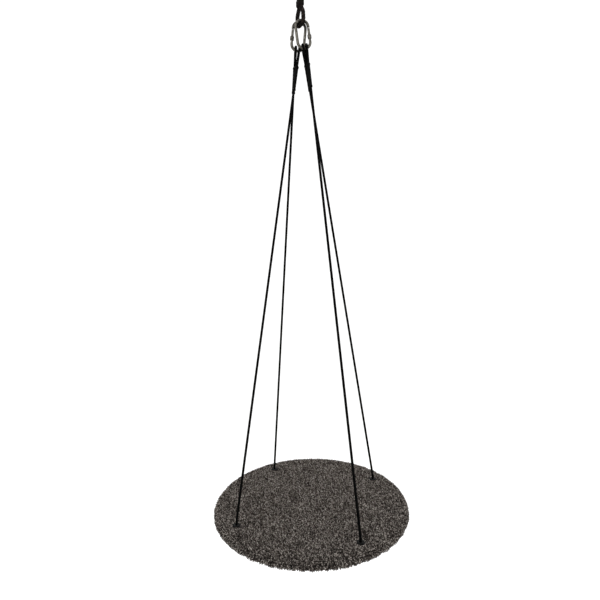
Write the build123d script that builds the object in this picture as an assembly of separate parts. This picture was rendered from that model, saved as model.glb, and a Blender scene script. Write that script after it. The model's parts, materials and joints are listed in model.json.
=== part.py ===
from build123d import *
import math
import os

# A round hanging seat: a carpeted plywood disc on four ropes, two screw-lock
# carabiners and a short rope strop. Millimetres, +Z up.
# The origin is the centre of the strop's hanging eye; Y is that eye's axis.

# Driving dimensions
hang_drop = 2150.0  # hanging eye down to the top of the pile
loop_turn = -60.0  # turn of the lower strop eye about Z
bow_turn = 8.0  # turn of the carabiners' bows about Z
hole_turn = 31.2  # turn of the four rope holes about Z
hole_circle = 343.0  # radius of the circle of rope holes

strop_rope = 16.5
strand_gap = 17.1  # centre to centre of the two strands in a collar
bore_radius = 10.0
bore_length = 16.0
thimble_groove = 13.0  # radius at the bottom of the thimble's groove
thimble_rim = 16.0
fit_gap = 0.3
collar_wrap = 3.5  # thickness of a collar over its strands
stem_radius = 14.5
upper_collar_top = -62.0
upper_collar_bottom = -82.0
lower_collar_top = -105.0
lower_collar_bottom = -128.0
eye_base = -198.0  # centre line of the lower eye's bottom strand
eye_base_half = 24.6  # half the base of the lower eye's outline, before rounding
eye_shoulder_half = 22.6
eye_shoulder = -156.0
eye_corner = 16.0

wire = 11.0
hook_offset = 8.0  # each carabiner from the middle of the lower eye
bow_radius = 25.0  # wire centre line at both ends
leg_length = 59.0
shoulder = 2.0  # these six are distances down the gate's leg
rivet_at = 8.0
slot_end = 15.0
tongue_from = 49.0
gate_end = 52.7
stub_end = 57.0
tip_gap = 0.5  # between the gate's tip and the stub
gate_radius = 5.0
tang_thick = 4.0
slot_wide = 4.6
rivet_radius = 2.0
nut_radius = 7.8
nut_length = 16.0
nut_bore = 5.08
spring_bore = 2.2

rope = 10.0
eye_radius = 12.5  # rope centre line round the carabiner's wire
eye_length = 62.0  # wire centre to the throat of the rope's eye
eye_spacing = 14.0  # between the two eyes on one bow
sleeve_length = 100.0
sleeve_radius = 6.8
sleeve_bead = 7.8
bend_above = 10.0  # where a rope turns upright, above the pile
bend_radius = 100.0

seat_radius = 400.0
board_radius = 386.0
board_thick = 18.0
pile_top_thick = 13.0
hem_thick = 6.0
hem_inner = 362.0
edge_round = 12.0
hem_round = 5.0
flange_radius = 15.0
flange_thick = 4.0
flange_sunk = 3.0
barrel_radius = 8.0
grommet_bore = 5.5
washer_radius = 15.0
washer_thick = 2.0
knot_radius = 13.0
knot_height = 26.0
tail_length = 14.0
staple_circle = 373.0
staple_count = 28
staple_crown = 12.0
staple_leg = 10.0

seat_top = -hang_drop
board_top = seat_top - pile_top_thick
board_bottom = board_top - board_thick
washer_bottom = board_bottom - washer_thick
up = (Align.CENTER, Align.CENTER, Align.MIN)
loop_plane = Rot(0, 0, loop_turn)
half_turn = Rot(0, 0, 180)

os.makedirs("parts", exist_ok=True)


def save(name, solid):
    export_step(solid, f"parts/{name}.step")


def tube(path, radius):
    """A round section carried along a path of straight runs and arcs."""
    start = Plane(origin=path @ 0, z_dir=path % 0)
    return sweep(start * Circle(radius), path=path)


def arc(centre, radius, first, last):
    """An arc in the YZ plane between two directions, in degrees."""
    def place(angle):
        turn = math.radians(angle)
        return (0, centre[0] + radius * math.cos(turn), centre[1] + radius * math.sin(turn))

    return ThreePointArc(place(first), place((first + last) / 2), place(last))


# ---- strop ----
def thimble():
    """A round steel ring with a rope groove outside and a plain bore inside."""
    groove = thimble_groove + fit_gap + strop_rope / 2  # radius to the groove's centre
    deep = groove - thimble_groove
    edge = math.sqrt(deep**2 - (groove - thimble_rim) ** 2)
    half = bore_length / 2
    outline = Polyline(
        (thimble_rim, -edge), (thimble_rim, -half), (bore_radius, -half),
        (bore_radius, half), (thimble_rim, half), (thimble_rim, edge),
    )
    hollow = ThreePointArc((thimble_rim, edge), (thimble_groove, 0), (thimble_rim, -edge))
    return revolve(make_face(outline + hollow), Axis.Y)


def upper_eye():
    """The strop's rope round the thimble, its two strands ending in the upper collar."""
    reach = thimble_groove + fit_gap + strop_rope / 2
    side, foot = strand_gap / 2, upper_collar_top + 12
    # Tangent point of the line from (side, foot) to the circle about the origin.
    far = math.hypot(side, foot)
    turn = math.atan2(foot, side) + math.acos(reach / far)
    touch = (reach * math.cos(turn), 0, reach * math.sin(turn))
    right = FilletPolyline(
        (side, 0, upper_collar_top), (side, 0, foot), touch, radius=20
    )
    left = FilletPolyline(
        (-touch[0], 0, touch[2]), (-side, 0, foot), (-side, 0, upper_collar_top), radius=20
    )
    over = ThreePointArc(touch, (0, 0, reach), (-touch[0], 0, touch[2]))
    return tube(Wire([*right.edges(), over.edge(), *left.edges()]), strop_rope / 2)


def lower_eye():
    """The strop's lower loop, wide enough at its base for two carabiners side by side."""
    side, foot = strand_gap / 2, lower_collar_bottom - 6
    right = [
        (eye_base_half, 0, eye_base), (eye_shoulder_half, 0, eye_shoulder),
        (side, 0, foot), (side, 0, lower_collar_bottom),
    ]
    left = [(-x, y, z) for x, y, z in reversed(right)]
    path = FilletPolyline(*left, *right, radius=(16, 25, eye_corner, eye_corner, 25, 16))
    return loop_plane * tube(path, strop_rope / 2)


def collar(top, bottom, turn):
    """The tight band that holds the two strands side by side."""
    thick = strop_rope + 2 * collar_wrap
    band = extrude(SlotOverall(strand_gap + thick, thick), top - bottom)
    band = fillet(band.edges().group_by(Axis.Z)[0] + band.edges().group_by(Axis.Z)[-1], 3)
    return Rot(0, 0, turn) * Pos(0, 0, bottom) * band


def stem():
    """The two strands between the collars, laid round each other."""
    return Pos(0, 0, lower_collar_top) * Cylinder(
        stem_radius, upper_collar_bottom - lower_collar_top, align=up
    )


# ---- carabiner, drawn in the YZ plane about the centre of its upper bow ----
leg_top = Vector(0, bow_radius, 0)
leg_bottom = Vector(0, bow_radius, -leg_length)
along = Vector(0, 0, -1)
leg_frame = Plane(origin=leg_top, x_dir=(1, 0, 0), z_dir=along)


def rod(radius, first, last):
    """A round bar on the gate's leg between two distances from the leg's top."""
    return leg_frame * Pos(0, 0, first) * Cylinder(radius, last - first, align=up)


def plate(thick, wide, first, last):
    """A flat tongue on the gate's leg, in the carabiner's plane."""
    return leg_frame * Pos(0, 0, first) * Box(thick, wide, last - first, align=up)


def pin(radius, at, thick):
    """A round bar across the carabiner's plane."""
    return leg_frame * Pos(0, 0, at) * Rot(0, 90, 0) * Cylinder(radius, thick)


def carabiner_body():
    """Bent wire with a hinge tang at one end and a nose with a tongue at the other."""
    runs = [
        Line(leg_top + along * shoulder, leg_top),
        arc((0, 0), bow_radius, 0, 180),
        Line((0, -bow_radius, 0), (0, -bow_radius, -leg_length)),
        arc((0, -leg_length), bow_radius, 180, 360),
        Line(leg_bottom, leg_top + along * stub_end),
    ]
    body = tube(Wire([run.edge() for run in runs]), wire / 2)
    body += plate(tang_thick, 9, shoulder - 1, rivet_at) + pin(4.5, rivet_at, tang_thick)
    body += rod(gate_radius, gate_end + tip_gap, stub_end + 1)
    body += plate(tang_thick, 7, tongue_from, gate_end + 1)
    return body - pin(rivet_radius + 0.05, rivet_at, 20)


def gate():
    """The gate's bar: a fork at each end and a bore for its return spring."""
    bar = rod(gate_radius, rivet_at, gate_end)
    bar += leg_frame * Pos(0, 0, rivet_at) * Sphere(gate_radius)
    bar -= plate(slot_wide, 20, 0, slot_end) + plate(slot_wide, 20, tongue_from - 1, gate_end + 5)
    bar -= rod(spring_bore, slot_end - 1, slot_end + 23)
    return bar - pin(rivet_radius, rivet_at, 20)


def rivet():
    head = pin(2.9, rivet_at, 11.2) - pin(4, rivet_at, 9.6)
    return pin(rivet_radius, rivet_at, 10) + head


def nut():
    """The locking sleeve, stored screwed back so that the gate is free."""
    last = tongue_from - 0.9
    sleeve = Cylinder(nut_radius, nut_length, align=up)
    sleeve = chamfer(sleeve.edges(), 1.2) - Cylinder(nut_bore, 3 * nut_length)
    return leg_frame * Pos(0, 0, last - nut_length) * sleeve


def spring():
    """The coil behind the plunger, at its length with the gate shut."""
    turns = Helix(pitch=2.4, height=15.6, radius=1.7)
    section = Plane(origin=turns @ 0, z_dir=turns % 0) * Circle(0.35)
    coil = sweep(section, path=turns, is_frenet=True)
    return leg_frame * Pos(0, 0, slot_end + 5.8) * coil


def plunger():
    return rod(spring_bore - 0.1, rivet_at + 4.9, slot_end + 5)


# ---- places of the carabiners and the rope holes ----
corner_turns = {"front_left": 180, "back_left": 90, "back_right": 0, "front_right": 270}


def hole_at(corner):
    """Where a rope turns upright, just above its hole."""
    angle = math.radians(hole_turn + corner_turns[corner])
    return Vector(
        hole_circle * math.cos(angle), hole_circle * math.sin(angle), seat_top + bend_above
    )


bow_line = Vector(-1, 0, 0).rotate(Axis.Z, bow_turn)  # from the left carabiner's middle to its gate
hook = Vector(-hook_offset, 0, 0).rotate(Axis.Z, loop_turn) + Vector(0, 0, eye_base)
pull = ((hole_at("front_left") + hole_at("back_left")) / 2 - hook).normalized()
hook_drop = bow_radius - wire / 2 - strop_rope / 2 - fit_gap  # strop's centre to the bow's centre
carabiner_left = Location(
    Plane(origin=hook + pull * hook_drop, x_dir=pull.cross(bow_line), z_dir=-pull)
)
carabiner_right = half_turn * carabiner_left


# ---- ropes ----
def seat_of(side, outward):
    """Centre of the bow's wire under one rope eye: outward is +1 on the gate's side."""
    shift = outward * eye_spacing / 2
    drop = -leg_length - math.sqrt(bow_radius**2 - shift**2)
    return (side * Pos(0, shift, drop)).position


def rope_frame(seat, hole):
    """A plane whose Z runs down the rope and whose X lies across the bow's wire."""
    down = (hole - seat).normalized()
    return Plane(origin=seat, x_dir=bow_line.cross(down), z_dir=down)


def rope_eye(frame):
    """The teardrop loop over the bow, cut square at its throat."""
    spread = math.asin(eye_radius / eye_length)
    touch = (eye_radius * math.cos(spread), 0, eye_radius * math.sin(spread))
    quarter = (math.pi / 2 - spread) / 2
    mid = (eye_radius * math.cos(quarter), 0, -eye_radius * math.sin(quarter))
    past = Vector(-0.4, 0, eye_length + 2)
    run = Line(past, touch)
    bend = ThreePointArc(touch, mid, (0, 0, -eye_radius))
    half = tube(Wire([run.edge(), bend.edge()]), rope / 2)
    loop = half + mirror(half, Plane.YZ)
    loop -= Pos(0, 0, eye_length) * Box(60, 60, 60, align=up)
    return frame * loop


def rope_sleeve(frame):
    """A shrunk sleeve over the splice, with a bead at each end."""
    inner = rope / 2
    bead, shank, ends = sleeve_bead, sleeve_radius, 9.0
    outline = Polyline(
        (inner, 0), (bead - 1.5, 0), (bead, 2), (bead, ends - 2), (shank, ends + 2),
        (shank, sleeve_length - ends - 2), (bead - 0.4, sleeve_length - ends + 2),
        (bead - 0.4, sleeve_length - 2), (inner + 1, sleeve_length), (inner, sleeve_length),
        close=True,
    )
    ring = revolve(make_face(Plane.XZ * outline), Axis.Z)
    return frame * Pos(0, 0, eye_length) * ring


def main_rope(frame, hole):
    """The straight rope from the throat to the grommet, then upright down to the knot."""
    throat = frame.origin + frame.z_dir * eye_length
    foot = Vector(hole.X, hole.Y, washer_bottom)
    path = FilletPolyline(throat, hole, foot, radius=bend_radius)
    solid = tube(path, rope / 2)
    expected = math.pi * (rope / 2) ** 2 * path.length
    print(f"rope length {path.length:.1f}, bend radius {bend_radius:.0f},"
          f" volume against section times length {solid.volume / expected:.4f}")
    return solid


def knot(hole):
    """The stopper knot's outer shape and its tail."""
    body = Cylinder(knot_radius, knot_height, align=(Align.CENTER, Align.CENTER, Align.MAX))
    body = fillet(body.edges(), 9)
    body += Pos(0, 0, 4 - knot_height) * Cylinder(
        rope / 2, tail_length + 4, align=(Align.CENTER, Align.CENTER, Align.MAX)
    )
    return Pos(hole.X, hole.Y, washer_bottom) * body


def grommet(hole):
    """A flanged bush that lines the rope's hole."""
    flange_top = seat_top - flange_sunk
    rim = Pos(0, 0, flange_top - flange_thick) * Cylinder(flange_radius, flange_thick, align=up)
    rim = fillet(rim.edges().group_by(Axis.Z)[-1], 2.5)
    barrel = Pos(0, 0, board_bottom) * Cylinder(
        barrel_radius, flange_top - 1 - board_bottom, align=up
    )
    bush = rim + barrel - Pos(0, 0, board_top) * Cylinder(grommet_bore, 200)
    return Pos(hole.X, hole.Y, 0) * bush


def washer(hole):
    ring = Cylinder(washer_radius, washer_thick, align=up)
    ring -= Cylinder(grommet_bore, 50)
    return Pos(hole.X, hole.Y, washer_bottom) * ring


# ---- seat ----
def at_holes(solid, holes):
    return [Pos(hole.X, hole.Y, 0) * solid for hole in holes]


def seat_board(holes):
    board = Pos(0, 0, board_bottom) * Cylinder(board_radius, board_thick, align=up)
    for hole in at_holes(Pos(0, 0, board_bottom) * Cylinder(barrel_radius, 100), holes):
        board -= hole
    return board


def carpet_cover(holes):
    """The pile over the board's top and edge, parted round each grommet."""
    cover = Pos(0, 0, board_bottom) * Cylinder(seat_radius, seat_top - board_bottom, align=up)
    cover = fillet(cover.edges().group_by(Axis.Z)[-1], edge_round)
    cover -= Pos(0, 0, board_bottom) * Cylinder(board_radius, board_thick, align=up)
    parting = Pos(0, 0, seat_top - flange_sunk - flange_thick) * Cylinder(
        flange_radius + 0.5, 30, align=up
    )
    through = Pos(0, 0, board_top) * Cylinder(barrel_radius, 60)
    for cut in at_holes(parting + through, holes):
        cover -= cut
    return cover


def carpet_hem():
    """The carpet's edge, turned under the board."""
    hem = Pos(0, 0, board_bottom - hem_thick) * Cylinder(seat_radius, hem_thick, align=up)
    hem = fillet(hem.edges().group_by(Axis.Z)[0], hem_round)
    return hem - Pos(0, 0, board_bottom) * Cylinder(hem_inner, 50)


def staples():
    """Wire staples through the hem into the board, evenly spaced."""
    thick, wide = 0.7, 1.3
    foot = board_bottom - hem_thick
    crown = Pos(0, 0, foot - thick) * Box(wide, staple_crown, thick, align=up)
    leg = Box(wide, thick, staple_leg + thick, align=up)
    offset = (staple_crown - thick) / 2
    one = crown + Pos(0, offset, foot - thick) * leg + Pos(0, -offset, foot - thick) * leg
    step = 360 / staple_count
    return Compound([
        Rot(0, 0, (i + 0.5) * step) * Pos(staple_circle, 0, 0) * one for i in range(staple_count)
    ])


save("hanging_thimble", thimble())
save("strop_upper_eye", upper_eye())
save("strop_upper_collar", collar(upper_collar_top, upper_collar_bottom, 0))
save("strop_stem", stem())
save("strop_lower_collar", collar(lower_collar_top, lower_collar_bottom, loop_turn))
save("strop_lower_eye", lower_eye())

carabiner_pieces = {
    "body": carabiner_body(), "gate": gate(), "rivet": rivet(), "nut": nut(),
    "spring": spring(), "plunger": plunger(),
}
for side_name, side in (("left", carabiner_left), ("right", carabiner_right)):
    for piece, solid in carabiner_pieces.items():
        save(f"{side_name}_carabiner_{piece}", side * solid)

eyes = {  # which carabiner carries each rope, and on which side of its bow
    "front_left": (carabiner_left, -1), "back_left": (carabiner_left, 1),
    "back_right": (carabiner_right, -1), "front_right": (carabiner_right, 1),
}
holes = [hole_at(corner) for corner in eyes]
for hole, (corner, (side, outward)) in zip(holes, eyes.items()):
    frame = rope_frame(seat_of(side, outward), hole)
    save(f"{corner}_rope", main_rope(frame, hole))
    save(f"{corner}_rope_eye", rope_eye(frame))
    save(f"{corner}_rope_sleeve", rope_sleeve(frame))
    save(f"{corner}_rope_knot", knot(hole))
    save(f"{corner}_grommet", grommet(hole))
    save(f"{corner}_washer", washer(hole))

save("seat_board", seat_board(holes))
save("carpet_cover", carpet_cover(holes))
save("carpet_hem", carpet_hem())
save("staples", staples())
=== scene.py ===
import json
import math

import bpy
import numpy as np
from mathutils import Matrix, Vector


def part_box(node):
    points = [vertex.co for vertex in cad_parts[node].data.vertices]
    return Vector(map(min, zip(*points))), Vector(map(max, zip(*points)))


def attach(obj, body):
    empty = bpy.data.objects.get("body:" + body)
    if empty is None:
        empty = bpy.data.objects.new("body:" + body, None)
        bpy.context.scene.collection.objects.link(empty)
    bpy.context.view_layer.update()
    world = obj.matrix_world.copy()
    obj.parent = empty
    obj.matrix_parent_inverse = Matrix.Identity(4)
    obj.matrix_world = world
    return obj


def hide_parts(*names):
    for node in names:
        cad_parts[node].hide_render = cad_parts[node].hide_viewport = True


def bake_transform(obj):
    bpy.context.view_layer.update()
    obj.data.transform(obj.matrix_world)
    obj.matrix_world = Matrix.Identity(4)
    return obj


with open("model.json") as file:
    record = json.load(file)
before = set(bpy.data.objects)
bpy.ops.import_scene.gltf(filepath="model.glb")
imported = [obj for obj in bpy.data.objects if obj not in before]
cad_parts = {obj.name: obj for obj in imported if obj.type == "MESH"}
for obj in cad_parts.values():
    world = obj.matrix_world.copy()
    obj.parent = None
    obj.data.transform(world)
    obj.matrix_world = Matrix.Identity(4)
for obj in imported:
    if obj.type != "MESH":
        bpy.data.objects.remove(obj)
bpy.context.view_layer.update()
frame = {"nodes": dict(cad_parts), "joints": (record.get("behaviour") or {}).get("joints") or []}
joints = {j["name"]: j for j in frame["joints"]}
scene = bpy.context.scene
print("frame loaded")

# places that come from the frame
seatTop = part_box("carpet_cover")[1].z
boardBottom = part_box("seat_board")[0].z
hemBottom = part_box("carpet_hem")[0].z
hookLine = Vector(joints["left_link_swing"]["axis"])  # the strop eye's base strand
hookSide = Vector((-hookLine.y, hookLine.x, 0))
hingeLine = Vector(joints["left_gate_open"]["axis"])
bowLine = Vector((0, 0, -1)).cross(hingeLine).normalized()  # along each carabiner's bow
corners = ["front_left", "back_left", "back_right", "front_right"]
holes = {c: (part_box(c + "_grommet")[0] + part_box(c + "_grommet")[1]) / 2 for c in corners}


cameraSet = {
    "back": 1.8181, "aboveSeat": 1.0060,  # metres from the seat's centre
    "down": 4.58, "left": 0.854, "roll": -1.325,  # degrees
    "lens": 26.33, "sensor": 36.0,
}


def makeCamera(c):
    data = bpy.data.cameras.new("camera")
    data.lens, data.sensor_width = c["lens"], c["sensor"]
    down, yaw, roll = (math.radians(c[k]) for k in ("down", "left", "roll"))
    ahead = Vector((-math.sin(yaw) * math.cos(down), math.cos(yaw) * math.cos(down), -math.sin(down)))
    across = ahead.cross(Vector((0, 0, 1))).normalized()
    above = across.cross(ahead)
    across, above = (
        across * math.cos(roll) + above * math.sin(roll),
        above * math.cos(roll) - across * math.sin(roll),
    )
    cam = bpy.data.objects.new("camera", data)
    scene.collection.objects.link(cam)
    turn = Matrix((across, above, -ahead)).transposed().to_4x4()
    cam.matrix_world = Matrix.Translation((0, -c["back"], seatTop + c["aboveSeat"])) @ turn
    scene.camera = cam


makeCamera(cameraSet)


# faces is a list of integer arrays, one array for each number of corners.
def newObject(name, verts, faces, body, material):
    mesh = bpy.data.meshes.new(name)
    sizes = np.concatenate([np.full(len(f), f.shape[1]) for f in faces])
    loops = np.concatenate([f.reshape(-1) for f in faces])
    mesh.vertices.add(len(verts))
    mesh.vertices.foreach_set("co", np.asarray(verts, np.float32).reshape(-1))
    mesh.loops.add(len(loops))
    mesh.loops.foreach_set("vertex_index", loops.astype(np.int32))
    mesh.polygons.add(len(sizes))
    mesh.polygons.foreach_set("loop_start", (np.cumsum(sizes) - sizes).astype(np.int32))
    mesh.polygons.foreach_set("loop_total", sizes.astype(np.int32))
    mesh.update(calc_edges=True)
    mesh.polygons.foreach_set("use_smooth", np.ones(len(sizes), bool))
    mesh.materials.append(material)
    obj = bpy.data.objects.new(name, mesh)
    scene.collection.objects.link(obj)
    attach(obj, body)
    return obj


# Quads of a rows by cols grid of points; wrap joins the last column to the first.
def gridFaces(rows, cols, wrap):
    i, j = np.meshgrid(np.arange(rows - 1), np.arange(cols if wrap else cols - 1), indexing="ij")
    k = (j + 1) % cols
    quads = np.stack([i * cols + j, i * cols + k, (i + 1) * cols + k, (i + 1) * cols + j], -1)
    return quads.reshape(-1, 4)


# A closed tube from rings of points, its two ends closed by a fan to their middles.
def tubeObject(name, points, body, material, uvScale=None):
    rows, cols = points.shape[:2]
    verts = np.concatenate([points.reshape(-1, 3), points[:1].mean(1), points[-1:].mean(1)])
    j = np.arange(cols)
    k = (j + 1) % cols
    first = np.stack([np.full(cols, rows * cols), k, j], -1)
    last = np.stack([np.full(cols, rows * cols + 1), (rows - 1) * cols + j, (rows - 1) * cols + k], -1)
    obj = newObject(
        name, verts, [gridFaces(rows, cols, True), first, last], body, material
    )
    if uvScale:
        addSurfaceUv(obj, rows, cols, uvScale)
    return obj


# UV in metres of real surface: u round the tube, v along it.
def addSurfaceUv(obj, rows, cols, uvScale):
    i, j = np.meshgrid(np.arange(rows - 1), np.arange(cols), indexing="ij")
    u = np.stack([j, j + 1, j + 1, j], -1) / cols * uvScale[0]
    v = np.stack([i, i, i + 1, i + 1], -1) / (rows - 1) * uvScale[1]
    flat = np.stack([u, v], -1).reshape(-1, 2)
    full = np.zeros((len(obj.data.loops), 2), np.float32)
    full[: len(flat)] = flat
    layer = obj.data.uv_layers.new(name="surface")
    layer.data.foreach_set("uv", full.reshape(-1))


# Distance from the start at each point of a line.
def along(line):
    return np.concatenate([[0], np.cumsum(np.linalg.norm(np.diff(line, axis=0), axis=1))])


# The line again with its points evenly spaced, about step apart.
def evenly(line, step):
    at = along(line)
    new = np.linspace(0, at[-1], max(3, int(round(at[-1] / step)) + 1))
    return np.stack([np.interp(new, at, line[:, k]) for k in range(3)], 1)


# At each point, one direction across the line in the plane of facing, and the one square to both.
def sideVectors(line, facing):
    tangent = np.gradient(line, axis=0)
    tangent /= np.linalg.norm(tangent, axis=1)[:, None]
    facing = np.broadcast_to(np.asarray(facing, float), line.shape)
    across = facing - (facing * tangent).sum(1)[:, None] * tangent
    across /= np.linalg.norm(across, axis=1)[:, None]
    return across, np.cross(tangent, across)


# point = line(v) + (radius + relief(angle, v)) (cos(angle) across + sin(angle) square)
def sweep(line, facing, radius, cols, relief=None):
    across, square = sideVectors(line, facing)
    angle = np.arange(cols) / cols * 2 * np.pi
    r = np.broadcast_to(np.asarray(radius, float), (len(line),))[:, None] + np.zeros(cols)
    if relief is not None:
        r = r + relief(angle[None, :], along(line)[:, None])
    return line[:, None] + r[..., None] * (
        np.cos(angle)[None, :, None] * across[:, None] + np.sin(angle)[None, :, None] * square[:, None]
    )


# Two crossing sets of strands: height times the higher of the two cosine ridges.
def plait(strands, lobe, height):
    def relief(angle, s):
        one = np.cos(strands * angle + 2 * np.pi * s / lobe)
        other = np.cos(strands * angle - 2 * np.pi * s / lobe + np.pi * 0.5)
        return height * (np.maximum(one, other) - 0.9)
    return relief


# A flat path of straight runs joined by tangent arcs, as evenly spaced points.
def roundedPath(points, radii, step=0.0008):
    points = [np.asarray(p, float) for p in points]
    pieces = [points[0][None]]
    for before, here, after, radius in zip(points, points[1:], points[2:], radii):
        a = (before - here) / np.linalg.norm(before - here)
        b = (after - here) / np.linalg.norm(after - here)
        half = math.acos(float(a @ b)) / 2
        middle = here + (a + b) / np.linalg.norm(a + b) * radius / math.sin(half)
        ends = here + a * radius / math.tan(half), here + b * radius / math.tan(half)
        x = (ends[0] - middle) / radius
        y = ends[1] - middle - ((ends[1] - middle) @ x) * x
        y /= np.linalg.norm(y)
        t = np.linspace(0, np.pi - 2 * half, 40)[:, None]
        pieces.append(middle + radius * (np.cos(t) * x + np.sin(t) * y))
    pieces.append(points[-1][None])
    return evenly(np.concatenate(pieces), step)


# A hex colour as linear light with alpha.
def srgb(code):
    c = np.array([int(code[k:k + 2], 16) / 255 for k in (1, 3, 5)])
    linear = np.where(c <= 0.04045, c / 12.92, ((c + 0.055) / 1.055) ** 2.4)
    return (*[float(x) for x in linear], 1.0)


# Adds a node; an input given as a socket is linked, and anything else is its value.
def addNode(tree, kind, settings=None, inputs=None):
    node = tree.nodes.new(kind)
    for key, value in (settings or {}).items():
        setattr(node, key, value)
    for key, value in (inputs or {}).items():
        if isinstance(value, bpy.types.NodeSocket):
            tree.links.new(value, node.inputs[key])
        else:
            node.inputs[key].default_value = value
    return node


# A material with its shader, returned with its tree.
def newMaterial(name, roughness, metallic=0.0, **sockets):
    mat = bpy.data.materials.new(name)
    mat.use_nodes = True
    tree = mat.node_tree
    shader = tree.nodes["Principled BSDF"]
    shader.inputs["Roughness"].default_value = roughness
    shader.inputs["Metallic"].default_value = metallic
    for key, value in sockets.items():
        shader.inputs[key.replace("_", " ")].default_value = value
    return mat, tree, shader


# A colour ramp from (place, hex) stops.
def ramp(tree, factor, stops):
    node = addNode(tree, "ShaderNodeValToRGB", inputs={"Fac": factor})
    elements = node.color_ramp.elements
    while len(elements) < len(stops):
        elements.new(0.5)
    for element, (place, code) in zip(elements, stops):
        element.position, element.color = place, srgb(code)
    return node.outputs["Color"]


def bump(tree, shader, height, distance, strength=1.0):
    node = addNode(
        tree, "ShaderNodeBump",
        inputs={"Height": height, "Distance": distance, "Strength": strength},
    )
    tree.links.new(node.outputs["Normal"], shader.inputs["Normal"])


def objectCoordinates(tree, scale=(1, 1, 1)):
    coords = addNode(tree, "ShaderNodeTexCoord").outputs["Object"]
    return addNode(
        tree, "ShaderNodeMapping", inputs={"Vector": coords, "Scale": scale}
    ).outputs["Vector"]


# cells is the number of blobs in a metre.
def noise(tree, vector, cells, detail=3.0, rough=0.55):
    return addNode(
        tree, "ShaderNodeTexNoise",
        inputs={"Vector": vector, "Scale": cells, "Detail": detail, "Roughness": rough},
    ).outputs["Fac"]


polyesterFibre = {"filament": 0.0006}  # metres between visible filaments


# Solution-dyed polyester, plaited: dull filaments with hardly any shine.
def plaitedPolyester(name, low, mid, high, roughness, shine):
    mat, tree, shader = newMaterial(name, roughness, Specular_IOR_Level=shine)
    uv = addNode(tree, "ShaderNodeUVMap", {"uv_map": "surface"}).outputs["UV"]
    patches = noise(tree, objectCoordinates(tree), 90, 4)
    tree.links.new(
        ramp(tree, patches, [(0.3, low), (0.55, mid), (0.8, high)]), shader.inputs["Base Color"]
    )
    turned = addNode(
        tree, "ShaderNodeMapping", inputs={"Vector": uv, "Rotation": (0, 0, math.radians(38))}
    ).outputs["Vector"]
    threads = addNode(
        tree, "ShaderNodeTexWave", {"bands_direction": "X"},
        {"Vector": turned, "Scale": 0.31 / polyesterFibre["filament"], "Distortion": 1.2},
    ).outputs["Fac"]
    bump(tree, shader, threads, 0.0003, 0.6)
    return mat


# Heat-shrunk polyolefin: smooth, satin black, with faint ripples of the rope below.
def shrunkSleeve():
    mat, tree, shader = newMaterial("shrunkPolyolefin", 0.6, Specular_IOR_Level=0.03)
    ripples = noise(tree, objectCoordinates(tree, (1, 1, 0.5)), 260, 2)
    black = ramp(tree, ripples, [(0.3, "#020202"), (0.7, "#070707")])
    tree.links.new(black, shader.inputs["Base Color"])
    bump(tree, shader, ripples, 0.0004, 0.5)
    return mat


# Waxed whipping twine wound tight: near black, dull, brownish where it has rubbed.
def whippedTwine():
    mat, tree, shader = newMaterial("whippedTwine", 0.7, Specular_IOR_Level=0.05)
    rub = noise(tree, objectCoordinates(tree), 140, 4)
    tree.links.new(ramp(tree, rub, [(0.35, "#080706"), (0.75, "#1c1815")]), shader.inputs["Base Color"])
    bump(tree, shader, noise(tree, objectCoordinates(tree, (1, 1, 4)), 700, 2), 0.0002, 0.5)
    return mat


# Zinc-plated steel, tumbled: a soft grey metal, duller in blotches, with fine random scratches.
def platedSteel(name, dark, light, roughness, grain=900.0, depth=0.00005):
    mat, tree, shader = newMaterial(name, roughness, 1.0)
    where = objectCoordinates(tree)
    blotches = noise(tree, where, 120, 5, 0.6)
    tree.links.new(ramp(tree, blotches, [(0.3, dark), (0.7, light)]), shader.inputs["Base Color"])
    spread = addNode(
        tree, "ShaderNodeMapRange",
        inputs={"Value": blotches, "From Min": 0.3, "From Max": 0.7,
                "To Min": roughness - 0.09, "To Max": roughness + 0.1},
    ).outputs["Result"]
    tree.links.new(spread, shader.inputs["Roughness"])
    scratches = noise(tree, objectCoordinates(tree, (1, 1, 0.15)), grain, 2)
    bump(tree, shader, scratches, depth, 0.5)
    return mat


# Injection-moulded nylon: black, semi-matt, with a fine even texture from the mould.
def mouldedNylon():
    mat, tree, shader = newMaterial("mouldedNylon", 0.55, Specular_IOR_Level=0.08)
    spark = noise(tree, objectCoordinates(tree), 1400, 2)
    tree.links.new(ramp(tree, spark, [(0.3, "#040404"), (0.7, "#0a0a0a")]), shader.inputs["Base Color"])
    bump(tree, shader, spark, 0.00015, 0.5)
    return mat


# Rotary-cut birch ply, sanded: pale flat figure 8 to 20 mm wide with fine pores.
def birchPlywood():
    mat, tree, shader = newMaterial("birchPlywood", 0.58, Specular_IOR_Level=0.4)
    figure = noise(tree, objectCoordinates(tree, (1, 0.12, 1)), 60, 6, 0.6)
    pores = noise(tree, objectCoordinates(tree, (1, 0.05, 1)), 1500, 2)
    base = ramp(
        tree, figure, [(0.25, "#a9855a"), (0.45, "#c7a677"), (0.6, "#d3b488"), (0.8, "#b8925f")]
    )
    shade = ramp(tree, pores, [(0.35, "#b9a58c"), (0.55, "#ffffff")])
    mixed = addNode(
        tree, "ShaderNodeMix", {"data_type": "RGBA", "blend_type": "MULTIPLY"}, {"Factor": 0.55}
    )
    tree.links.new(base, mixed.inputs["A"])
    tree.links.new(shade, mixed.inputs["B"])
    tree.links.new(mixed.outputs["Result"], shader.inputs["Base Color"])
    bump(tree, shader, pores, 0.00012, 0.4)
    return mat


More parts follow.
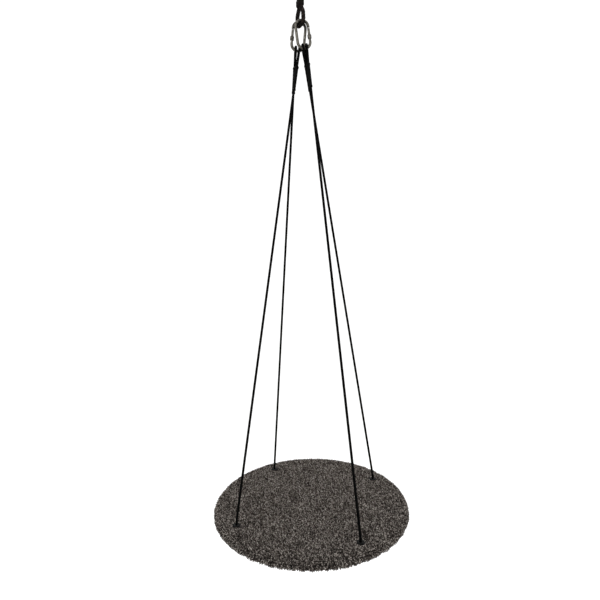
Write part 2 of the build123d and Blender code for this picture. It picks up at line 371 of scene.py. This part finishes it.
# Heat-set polyester shag, its plies of several greys twisted together: salt and pepper,
# with painted shade that darkens each yarn towards its root.
def tuftedYarn():
    mat, tree, shader = newMaterial(
        "tuftedYarn", 0.9, Specular_IOR_Level=0.08
    )
    tone = addNode(tree, "ShaderNodeAttribute", {"attribute_name": "tone"}).outputs["Fac"]
    plies = noise(tree, objectCoordinates(tree), 330, 1.0)  # the plies change colour about every 3 mm
    scaleAdd = {"operation": "MULTIPLY_ADD"}
    spread = addNode(tree, "ShaderNodeMath", scaleAdd, {0: plies, 1: 2.8, 2: -1.2}).outputs[0]
    tone = addNode(tree, "ShaderNodeMath", scaleAdd, {0: tone, 1: 0.6, 2: spread}).outputs[0]
    lift = addNode(tree, "ShaderNodeAttribute", {"attribute_name": "lift"}).outputs["Fac"]
    yarn = ramp(
        tree, tone,
        [(0.0, "#0a0706"), (0.25, "#1a1512"), (0.5, "#3a3430"), (0.75, "#7a736d"), (1.0, "#b0a9a2")],
    )
    # painted shade: each yarn's colour is multiplied darker towards its root, where the pile shades
    # itself
    paintedRootShade = ramp(tree, lift, [(0.0, "#3a3a3a"), (0.75, "#ffffff")])
    mixed = addNode(
        tree, "ShaderNodeMix", {"data_type": "RGBA", "blend_type": "MULTIPLY"}, {"Factor": 1.0}
    )
    tree.links.new(yarn, mixed.inputs["A"])
    tree.links.new(paintedRootShade, mixed.inputs["B"])
    tree.links.new(mixed.outputs["Result"], shader.inputs["Base Color"])
    fibres = noise(tree, objectCoordinates(tree), 2200, 2)
    bump(tree, shader, fibres, 0.0004, 0.7)
    return mat


# Woven carpet backing under the yarns: dark grey, matt, with a 2 mm weave.
def wovenBacking():
    mat, tree, shader = newMaterial("wovenBacking", 0.9, Specular_IOR_Level=0.2)
    speckle = noise(tree, objectCoordinates(tree), 220, 3)
    tree.links.new(
        ramp(tree, speckle, [(0.35, "#0e0c0b"), (0.55, "#221e1c"), (0.75, "#3d3835")]),
        shader.inputs["Base Color"],
    )
    bump(tree, shader, speckle, 0.001, 0.6)
    return mat


ropeBlack = plaitedPolyester("plaitedPolyesterBlack", "#020202", "#040404", "#080707", 0.8, 0.03)
stropBrown = plaitedPolyester("plaitedPolyesterWorn", "#080605", "#15110f", "#3a2f29", 0.78, 0.06)
sleeveBlack = shrunkSleeve()
twineBlack = whippedTwine()
zincSteel = platedSteel("zincPlatedSteel", "#24221d", "#6d6a63", 0.34)
nutSteel = platedSteel("knurledSteel", "#2a2823", "#5f5c56", 0.38)
pinSteel = platedSteel("drawnSteel", "#8a8884", "#b4b2ae", 0.26)
washerSteel = platedSteel("galvanisedSteel", "#8c8d8d", "#b9bab8", 0.4)
nylonBlack = mouldedNylon()
plywood = birchPlywood()
yarn = tuftedYarn()
backing = wovenBacking()
print("materials made")


def finishNodes():
    groups = {"_carabiner_body": zincSteel, "_carabiner_gate": zincSteel, "_carabiner_rivet": pinSteel,
              "_carabiner_spring": pinSteel, "_carabiner_plunger": pinSteel, "_grommet": nylonBlack,
              "_washer": washerSteel, "hanging_thimble": pinSteel, "seat_board": plywood,
              "staples": washerSteel}
    for name, node in frame["nodes"].items():
        for ending, material in groups.items():
            if name.endswith(ending):
                node.data.materials.clear()
                node.data.materials.append(material)


finishNodes()


ropeSet = {"radius": 0.005, "cols": 24, "step": 0.00175, "strands": 6, "lobe": 0.007,
           "height": 0.0006, "eyeRadius": 0.0125, "eyeLength": 0.062, "sleeveLength": 0.100,
           "bendAbove": 0.010}
sleeveSet = {"bead": 0.0078, "shank": 0.0066, "beadLength": 0.009, "cols": 24, "step": 0.001}
knotSet = {"wrapRadius": 0.0086, "turns": 2.4, "rise": 0.0205, "tail": 0.014, "cols": 20}


# The smooth line of a rope through its route, from a quadratic spline with no bevel.
def ropeLine(points):
    curve = bpy.data.curves.new("route", "CURVE")
    curve.dimensions, curve.resolution_u = "3D", 60
    spline = curve.splines.new("NURBS")
    spline.points.add(len(points) - 1)
    for p, co in zip(spline.points, points):
        p.co = (*co, 1)
    spline.order_u, spline.use_endpoint_u = 3, True
    bare = bpy.data.objects.new("route", curve)
    mesh = bpy.data.meshes.new_from_object(bare)
    line = np.array([v.co[:] for v in mesh.vertices])
    bpy.data.objects.remove(bare)
    bpy.data.curves.remove(curve)
    bpy.data.meshes.remove(mesh)
    return line


def makeRope(corner):
    s = ropeSet
    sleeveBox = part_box(corner + "_rope_sleeve")
    middle = (sleeveBox[0] + sleeveBox[1]) / 2
    bend = Vector((holes[corner].x, holes[corner].y, seatTop + s["bendAbove"]))
    down = (bend - middle).normalized()
    throat = middle - down * s["sleeveLength"] / 2
    foot = Vector((bend.x, bend.y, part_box(corner + "_washer")[0].z))
    short = (bend - foot).length
    line = evenly(ropeLine([throat, bend - down * short, bend, foot]), s["step"])
    points = sweep(line, hookLine, s["radius"], s["cols"], plait(s["strands"], s["lobe"], s["height"]))
    length = along(line)[-1]
    rope = tubeObject(corner + "Rope", points, "seat", ropeBlack,
                      (2 * math.pi * s["radius"], length))
    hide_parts(corner + "_rope")
    knot = makeKnot(corner, foot)
    eye = makeRopeEye(corner, throat, down)
    sleeve = makeSleeve(corner, throat, down)


# A teardrop loop: two straight runs that touch a circle round the carabiner's wire.
def makeRopeEye(corner, throat, down):
    s = ropeSet
    across = bowLine.cross(down).normalized()
    centre = throat - down * s["eyeLength"]
    spread = math.asin(s["eyeRadius"] / s["eyeLength"])
    turn = np.linspace(-spread, math.pi + spread, 60)
    arc = np.stack([np.cos(turn), -np.sin(turn)], 1) * s["eyeRadius"]
    foot = s["eyeLength"] + 0.003
    flat = np.concatenate([[[0.0022, foot]], arc, [[-0.0022, foot]]])
    line = np.array(centre) + flat[:, :1] * np.array(across) + flat[:, 1:] * np.array(down)
    line = evenly(line, 0.0012)
    normal = across.cross(down)
    points = sweep(line, normal, s["radius"], s["cols"], plait(s["strands"], s["lobe"], s["height"]))
    eye = tubeObject(corner + "RopeEye", points, "seat", ropeBlack,
                     (2 * math.pi * s["radius"], along(line)[-1]))
    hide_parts(corner + "_rope_eye")
    return eye


# A shrunk tube: radius = shank + beads at both ends + slow ripples.
def makeSleeve(corner, throat, down):
    s = sleeveSet
    line = evenly(np.array([throat, throat + down * ropeSet["sleeveLength"]]), s["step"])
    at = along(line)
    length = at[-1]

    def beadAt(middle):
        return np.exp(-(((at - middle) / (s["beadLength"] * 0.45)) ** 4))

    radius = s["shank"] + (s["bead"] - s["shank"]) * beadAt(s["beadLength"] * 0.55)
    radius += (s["bead"] - 0.0004 - s["shank"]) * beadAt(length - s["beadLength"] * 0.55)
    radius[0], radius[-1] = radius[0] * 0.8, radius[-1] * 0.8

    def ripple(angle, v):
        return 0.00012 * np.cos(3 * angle + v * 420) + 0.0001 * np.cos(2 * angle - v * 900)

    sleeve = tubeObject(corner + "RopeSleeve", sweep(line, hookLine, radius, s["cols"], ripple), "seat",
                        sleeveBlack)
    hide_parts(corner + "_rope_sleeve")
    return sleeve


# A barrel stopper knot: the rope's end wound round itself, then out at the bottom.
# line = wrapRadius(t) (cos, sin)(turns) at a depth that grows with t, and straight down after it.
def makeKnot(corner, foot):
    s = knotSet
    t = np.linspace(0, 1, 220)
    swell = np.clip(np.minimum(t, 1 - t) / 0.12, 0, 1)
    swell = swell * swell * (3 - 2 * swell) * s["wrapRadius"]
    turn = 2 * np.pi * s["turns"] * t
    depth = 0.0045 + s["rise"] * (3 * t**2 - 2 * t**3 + 2 * t) / 3
    wraps = np.stack([swell * np.cos(turn), swell * np.sin(turn), -depth], 1)
    tail = wraps[-1] + np.array([[0, 0, -s["tail"] * k] for k in (0.35, 0.7, 1.0)])
    line = np.array(foot) + evenly(np.concatenate([[[0, 0, 0.0]], wraps, tail]), 0.0012)
    points = sweep(line, (0.3, 0.2, 1.0), ropeSet["radius"] * 0.94, s["cols"],
                   plait(ropeSet["strands"], ropeSet["lobe"], ropeSet["height"]))
    knot = tubeObject(corner + "RopeKnot", points, "seat", ropeBlack,
                      (2 * math.pi * ropeSet["radius"], along(line)[-1]))
    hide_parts(corner + "_rope_knot")
    return knot


for corner in corners:
    makeRope(corner)
print("ropes made")


stropSet = {"radius": 0.00825, "gap": 0.0171, "cols": 32, "step": 0.0012, "strands": 5, "lobe": 0.011,
            "height": 0.0013, "eyeReach": 0.02155, "upperTurn": 0.012, "lowerTurn": 0.006,
            "baseHalf": 0.0246, "shoulderHalf": 0.0226, "shoulderRise": 0.042,
            "bends": [0.016, 0.025, 0.016]}


def stropTube(name, line, normal, body, node):
    s = stropSet
    points = sweep(line, normal, s["radius"], s["cols"], plait(s["strands"], s["lobe"], s["height"]))
    obj = tubeObject(name, points, body, stropBrown,
                     (2 * math.pi * s["radius"], along(line)[-1]))
    if node:
        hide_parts(node)
    return obj


# The rope round the thimble: an arc about the origin with two tangent runs down to the collar.
def makeUpperEye():
    s = stropSet
    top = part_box("strop_upper_collar")[1].z
    side, foot = s["gap"] / 2, top + s["upperTurn"]
    turn = math.atan2(foot, side) + math.acos(s["eyeReach"] / math.hypot(side, foot))
    over = np.linspace(turn, math.pi - turn, 90)
    arc = np.stack([np.cos(over), np.zeros(90), np.sin(over)], 1) * s["eyeReach"]
    right = roundedPath([(side, 0, top - 0.004), (side, 0, foot), arc[0]], [0.02])
    line = evenly(np.concatenate([right, arc[1:-1], right[::-1] * (-1, 1, 1)]), s["step"])
    stropTube("stropUpperEye", line, (0, 1, 0), "strop_top", "strop_upper_eye")


# The lower loop, in the plane of the hook line: half an outline, and its mirror image.
def makeLowerEye():
    s = stropSet
    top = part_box("strop_lower_collar")[0].z
    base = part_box("strop_lower_eye")[0].z + s["radius"]
    half = [(s["gap"] / 2, top + 0.004), (s["gap"] / 2, top - s["lowerTurn"]),
            (s["shoulderHalf"], base + s["shoulderRise"]), (s["baseHalf"], base)]
    flat = half + [(-x, z) for x, z in reversed(half)]
    points = [np.array(hookLine) * x + np.array((0, 0, z)) for x, z in flat]
    line = evenly(roundedPath(points, s["bends"] + s["bends"][::-1]), s["step"])
    stropTube("stropLowerEye", line, hookSide, "strop_bottom", "strop_lower_eye")


# Two strands laid round each other between the collars: a helix that turns by the rig's own angle.
def makeStem():
    s = stropSet
    top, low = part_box("strop_stem")[1].z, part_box("strop_stem")[0].z
    lay = math.atan2(hookLine.y, hookLine.x)
    z = np.linspace(top + 0.006, low - 0.006, 60)
    part = np.clip((top - z) / (top - low), 0, 1)
    angle = lay * part * part * (3 - 2 * part)
    for name, start in (("stropStemStrandA", 0), ("stropStemStrandB", math.pi)):
        turn = angle + start
        line = np.stack([np.cos(turn) * s["gap"] / 2, np.sin(turn) * s["gap"] / 2, z], 1)
        points = sweep(evenly(line, s["step"]), (0, 1, 0), s["radius"], s["cols"],
                       plait(s["strands"], s["lobe"], s["height"]))
        strand = tubeObject(name, points, "strop_top", stropBrown,
                            (2 * math.pi * s["radius"], top - low))
        strand.parent = None
        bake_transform(strand)
        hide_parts("strop_stem")


collarSet = {"half": 0.0114, "wrap": 0.0017, "height": 0.0007, "cols": 72}


# Twine wound round both strands: a rounded oblong whose offset is height |cos| of the winding.
def makeCollar(name, node, longWay, body):
    s = collarSet
    low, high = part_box(node)
    halfGap = stropSet["gap"] / 2
    z = np.arange(low.z, high.z, s["wrap"] / 6)
    angle = np.arange(s["cols"]) / s["cols"] * 2 * np.pi
    winding = s["height"] * (np.abs(np.cos(np.pi * (z[:, None] - low.z) / s["wrap"] - angle / 2)) - 0.6)
    ends = np.minimum(z - low.z, high.z - z)
    shoulder = -0.003 * np.clip(1 - ends / 0.003, 0, 1) ** 2
    reach = s["half"] + winding + shoulder[:, None]
    long = halfGap * np.clip(2.4 * np.cos(angle), -1, 1) + reach * np.cos(angle)
    wide = reach * np.sin(angle)
    shortWay = Vector((-longWay.y, longWay.x, 0))
    points = long[..., None] * np.array(longWay) + wide[..., None] * np.array(shortWay)
    points = points + z[:, None, None] * np.array((0, 0, 1.0))
    collar = tubeObject(name, points, body, twineBlack)
    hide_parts(node)


makeUpperEye()
makeLowerEye()
makeStem()
makeCollar("stropUpperCollar", "strop_upper_collar", Vector((1, 0, 0)), "strop_top")
makeCollar("stropLowerCollar", "strop_lower_collar", hookLine, "strop_bottom")
print("strop made")


nutSet = {"outer": 0.0078, "bore": 0.00508, "length": 0.016, "knurl": 26, "depth": 0.00035,
          "edge": 0.0013, "cols": 156, "rows": 44}


# A knurled sleeve: outside radius = outer + depth max(cos, cos) of two crossing helices between
# two plain chamfers, closed by flat ends and the plain bore.
def makeNut(side):
    s = nutSet
    low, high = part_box(side + "_carabiner_nut")
    centre = (low + high) / 2
    way = Vector(joints[side + "_nut_lock"]["axis"])
    angle = np.arange(s["cols"]) / s["cols"] * 2 * np.pi
    v = np.linspace(0, s["length"], s["rows"])
    k = s["knurl"]
    pitch = 2 * np.pi * s["outer"]
    ridge = np.maximum(np.cos(k * (angle + 2 * np.pi * v[:, None] / pitch)),
                       np.cos(k * (angle - 2 * np.pi * v[:, None] / pitch)))
    fromEnd = np.minimum(v, s["length"] - v)
    chamfer = -np.clip(s["edge"] - fromEnd, 0, None)
    band = np.clip((fromEnd - s["edge"] * 1.6) / 0.0006, 0, 1)
    knurl = s["depth"] * (ridge * 0.5 + 0.5) * band[:, None]
    outer = s["outer"] - s["depth"] + chamfer[:, None] + knurl
    inner = np.full((2, s["cols"]), s["bore"])
    radius = np.concatenate([inner[:1], outer, inner])
    v = np.concatenate([[0], v, [s["length"], 0]])
    start = np.array(centre) - np.array(way) * s["length"] / 2
    across = np.array(way.orthogonal().normalized())
    square = np.cross(np.array(way), across)
    points = start + v[:, None, None] * np.array(way) + radius[..., None] * (
        np.cos(angle)[:, None] * across + np.sin(angle)[:, None] * square
    )
    faces = gridFaces(len(v), s["cols"], True)
    nut = newObject(side + "CarabinerNut", points.reshape(-1, 3), [faces], "nut_" + side,
                    nutSteel)
    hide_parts(side + "_carabiner_nut")


for side in ("left", "right"):
    makeNut(side)
print("nuts made")


carpetSet = {
    "cutDiameter": 0.872, "hemInner": 0.3625, "corner": 0.0103, "seed": 14,
    "backingInset": 0.0020, "underLift": 0.0042, "rootLift": 0.003, "lump": 0.0015,
    "pileTop": 0.0115, "pileSide": 0.0128, "pileUnder": 0.0075,  # yarn lengths
    "spacing": 0.0041, "width": 0.0019, "tuft": 0.016,
    "parting": 0.0157, "parted": 0.015,  # bare round each rope, and how far out the pile is parted
    "sides": 4, "pieces": 8,
}


# Radius and height of the backing, from the centre over the edge and in under the board,
# with its outward normals.
def carpetProfile(s):
    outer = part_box("carpet_cover")[1].x - s["backingInset"]
    top, bottom = seatTop - s["pileTop"], hemBottom + s["underLift"]
    quarter = np.linspace(0, np.pi / 2, 9)
    c = s["corner"]
    over = np.stack([outer - c + c * np.sin(quarter), top - c + c * np.cos(quarter)], 1)
    under = np.stack([outer - c + c * np.cos(quarter), bottom + c - c * np.sin(quarter)], 1)
    flatTop = np.stack([np.linspace(0, outer - c, 120), np.full(120, top)], 1)
    wall = np.stack([np.full(8, outer), np.linspace(top - c, bottom + c, 8)], 1)
    flatUnder = np.stack([np.linspace(outer - c, s["hemInner"], 8), np.full(8, bottom)], 1)
    line = np.concatenate([flatTop[:-1], over, wall[1:-1], under, flatUnder[1:]])
    tangent = np.gradient(line, axis=0)
    tangent /= np.linalg.norm(tangent, axis=1)[:, None]
    return line, np.stack([-tangent[:, 1], tangent[:, 0]], 1)


# Yarn length by which way the surface faces: top, side or under.
def pileLength(s, normalUp):
    below = np.where(normalUp > -0.6, s["pileSide"], s["pileUnder"])
    return np.where(normalUp > 0.3, s["pileTop"], below)


# The woven cloth that the yarns stand in: the profile turned about Z, raised by small lumps.
def makeBacking(s):
    line, normal = carpetProfile(s)
    cols = 360
    angle = np.arange(cols) / cols * 2 * np.pi
    lump = np.random.default_rng(s["seed"]).random((len(line), cols)) * s["lump"]
    lift = np.minimum(s["rootLift"], pileLength(s, normal[:, 1]) * 0.4)
    r = line[:, :1] + normal[:, :1] * (lift[:, None] + lump)
    z = line[:, 1:] + normal[:, 1:] * (lift[:, None] + lump)
    r[0], z[0] = 0.0005, z[0].mean()
    points = np.stack([r * np.cos(angle), r * np.sin(angle), z], -1)
    cloth = newObject("carpetBacking", points.reshape(-1, 3),
                      [gridFaces(len(line), cols, True)[:, ::-1]], "seat", backing)
    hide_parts("carpet_cover", "carpet_hem")
    return cloth


# Even places over the turned profile: equal shares of area, turned by the golden angle each time,
# then moved a little at random.
def yarnPlaces(s):
    line, normal = carpetProfile(s)
    step = np.linalg.norm(np.diff(line, axis=0), axis=1)
    onCorner = np.abs(np.abs(normal[1:, 1]) - 0.5) < 0.45
    closer = np.where(onCorner, 2.2, 1.0)  # more yarns on the rounded corners
    area = np.concatenate([[0], np.cumsum(step * closer * np.pi * (line[1:, 0] + line[:-1, 0]))])
    count = int(area[-1] / (s["spacing"] ** 2 * 0.9))
    rng = np.random.default_rng(s["seed"] + 1)
    share = (np.arange(count) + rng.random(count)) / count * area[-1]
    r = np.interp(share, area, line[:, 0])
    z = np.interp(share, area, line[:, 1])
    nr, nz = (np.interp(share, area, normal[:, k]) for k in (0, 1))
    stray = rng.normal(0, 0.3, count) * s["spacing"] / np.maximum(r, 0.01)
    angle = np.arange(count) * np.pi * (3 - math.sqrt(5)) + stray
    place = np.stack([r * np.cos(angle), r * np.sin(angle), z], 1)
    facing = np.stack([nr * np.cos(angle), nr * np.sin(angle), nz], 1)
    facing /= np.linalg.norm(facing, axis=1)[:, None]
    keep = np.ones(count, bool)
    for hole in holes.values():
        gap = np.hypot(place[:, 0] - hole.x, place[:, 1] - hole.y)
        keep &= gap > s["parting"] + 0.002 * (z < boardBottom)
    return place[keep], facing[keep], rng


# How near each yarn is to a rope hole, from 0 to 1, and the level direction away from that hole.
def partingAt(s, place):
    gaps = np.stack([np.stack([place[:, 0] - h.x, place[:, 1] - h.y], 1) for h in holes.values()])
    far = np.linalg.norm(gaps, axis=2)
    closest = far.argmin(0)
    pick = np.arange(len(place))
    away = gaps[closest, pick] / far[closest, pick][:, None]
    near = np.clip(1 - (far[closest, pick] - s["parting"]) / s["parted"], 0, 1)
    return near, np.concatenate([away, np.zeros((len(place), 1))], 1)


# Each yarn is a bent, tapered four-sided finger:
# centre(t) = place + facing length t + lean t^2, radius(t) = width taper(t).
def makeTufts(s):
    place, facing, rng = yarnPlaces(s)
    count = len(place)
    length = pileLength(s, facing[:, 2]) * rng.uniform(0.84, 1.06, count)
    slow = np.sin(place[:, 0] * 41 + 1.3) * np.cos(place[:, 1] * 37 - 0.4)  # lie of the pile in patches
    clump = np.sin(place[:, 0] * 170 + 0.6) + np.cos(place[:, 1] * 150) + np.sin(place[:, 2] * 260)
    length = length * np.where(np.abs(facing[:, 2]) < 0.9, 1 + 0.07 * clump, 1.0)  # an uneven rim
    turn = rng.uniform(0, 2 * np.pi, count) + 0.8 * slow
    near, away = partingAt(s, place)
    length = length * (1 - 0.45 * near)
    helper = np.where(np.abs(facing[:, 2:]) > 0.8, [[1.0, 0, 0]], [[0, 0, 1.0]])
    across = np.cross(facing, helper)
    across /= np.linalg.norm(across, axis=1)[:, None]
    square = np.cross(facing, across)
    leanWay = np.cos(turn)[:, None] * across + np.sin(turn)[:, None] * square
    rim = np.abs(facing[:, 2]) < 0.9
    hang = np.where(rim, 0.5, 0.0)  # the rim's yarns hang down a little and gather into tufts
    cell = np.round(place / s["tuft"])
    gather = (cell * s["tuft"] - place) / s["tuft"] * 2.2 * rim[:, None]
    leanWay = leanWay * (1 - near)[:, None] + 1.5 * near[:, None] * away + gather
    leanWay = leanWay - hang[:, None] * np.array((0, 0, 1.0))
    leanWay -= (leanWay * facing).sum(1)[:, None] * facing
    leanWay /= np.maximum(np.linalg.norm(leanWay, axis=1), 0.3)[:, None]
    lean = length * rng.uniform(0.1, 0.55, count)
    short = length * (1 - 0.22 * (lean / length) ** 2)
    t = np.array([0.0, 0.35, 0.72, 1.0])
    taper = np.array([0.75, 1.0, 1.0, 0.62])
    thick = s["width"] * rng.uniform(0.75, 1.25, count)
    sides = s["sides"]
    around = np.arange(sides) / sides * 2 * np.pi
    ring = np.cos(around)[:, None, None] * across + np.sin(around)[:, None, None] * square
    rise = facing * short[:, None] * t[:, None, None]
    centre = place + rise + leanWay * lean[:, None] * (t**2)[:, None, None]
    points = centre[:, None] + ring[None] * (thick[None] * taper[:, None])[:, None, :, None]
    points = points.transpose(2, 0, 1, 3).reshape(count, 4 * sides, 3)
    tip = place + facing * short[:, None] * 1.08 + leanWay * lean[:, None] * 1.12
    points = np.concatenate([points, tip[:, None]], 1)
    tone = rng.beta(0.6, 0.85, count)
    tone = np.clip(tone + 0.06 * slow, 0, 1)
    j = np.arange(sides)
    k = (j + 1) % sides
    quads = gridFaces(len(t), sides, True)
    caps = np.stack([3 * sides + j, 3 * sides + k, np.full(sides, 4 * sides)], 1)
    # lift runs from 0 at the root to 1 at the tip; the material uses it for the painted root shade
    lift = np.concatenate([np.repeat(t, sides), [1.0]])
    pieces = []
    around = np.arctan2(place[:, 1], place[:, 0]) / (2 * np.pi) + 0.5
    sector = np.floor(around * s["pieces"] * 0.99999).astype(int)
    for part in range(s["pieces"]):
        mine = np.flatnonzero(sector == part)
        offset = np.arange(len(mine))[:, None, None] * (4 * sides + 1)
        obj = newObject("carpetPile" + "ABCDEFGH"[part], points[mine].reshape(-1, 3),
                        [(quads[None] + offset).reshape(-1, 4), (caps[None] + offset).reshape(-1, 3)],
                        "seat", yarn)
        for name, values in (("tone", np.repeat(tone[mine], 4 * sides + 1)),
                             ("lift", np.tile(lift, len(mine)))):
            layer = obj.data.attributes.new(name, "FLOAT", "POINT")
            layer.data.foreach_set("value", values.astype(np.float32))
        pieces.append(obj)
    print("yarns", count)
    return pieces


carpetCloth = makeBacking(carpetSet)
pile = makeTufts(carpetSet)
print("carpet made")


studio = {"floorBelow": 1.3, "half": 12.0, "backAt": 5.0, "bend": 2.5, "height": 9.0}


# A pale floor that curves up behind: a line in Y and Z carried along X.
def makeBackdrop(s):
    level = seatTop - s["floorBelow"]
    turn = np.linspace(0, np.pi / 2, 24)
    curve = s["backAt"] + s["bend"] * np.sin(turn)
    y = np.concatenate([[-s["half"]], curve, [s["backAt"] + s["bend"]]])
    z = np.concatenate([[level], level + s["bend"] * (1 - np.cos(turn)), [level + s["height"]]])
    x = np.array([-s["half"], s["half"]])
    points = np.stack([np.broadcast_to(x[None], (len(y), 2)), np.repeat(y[:, None], 2, 1),
                       np.repeat(z[:, None], 2, 1)], -1)
    mesh = bpy.data.meshes.new("backdrop")
    mesh.from_pydata(points.reshape(-1, 3).tolist(), [], gridFaces(len(y), 2, False).tolist())
    mesh.polygons.foreach_set("use_smooth", np.ones(len(mesh.polygons), bool))
    mat, tree, shader = newMaterial("paintedBackdrop", 0.9, Specular_IOR_Level=0.1)
    shader.inputs["Base Color"].default_value = srgb("#fdfdfd")
    mesh.materials.append(mat)
    obj = bpy.data.objects.new("backdrop", mesh)
    scene.collection.objects.link(obj)


lamps = {  # place, size, watts
    "keyLight": ((-2.6, -3.2, 1.4), 2.4, 80.0),
    "fillLight": ((3.0, -2.6, 0.6), 2.6, 40.0),
    "topLight": ((0.2, 0.6, 1.9), 2.2, 40.0),
}


def makeLights():
    aim = Vector((0, 0, seatTop + 0.9))
    for name, (place, size, watts) in lamps.items():
        data = bpy.data.lights.new(name, "AREA")
        data.shape, data.size, data.energy = "DISK", size, watts
        lamp = bpy.data.objects.new(name, data)
        lamp.location = place
        lamp.rotation_euler = (aim - Vector(place)).to_track_quat("-Z", "Y").to_euler()
        scene.collection.objects.link(lamp)
    world = bpy.data.worlds.new("studio")
    scene.world = world
    world.use_nodes = True
    world.node_tree.nodes["Background"].inputs["Color"].default_value = srgb("#ffffff")
    world.node_tree.nodes["Background"].inputs["Strength"].default_value = 1.04


makeBackdrop(studio)
makeLights()
scene.view_settings.view_transform = "Standard"
print("studio made")
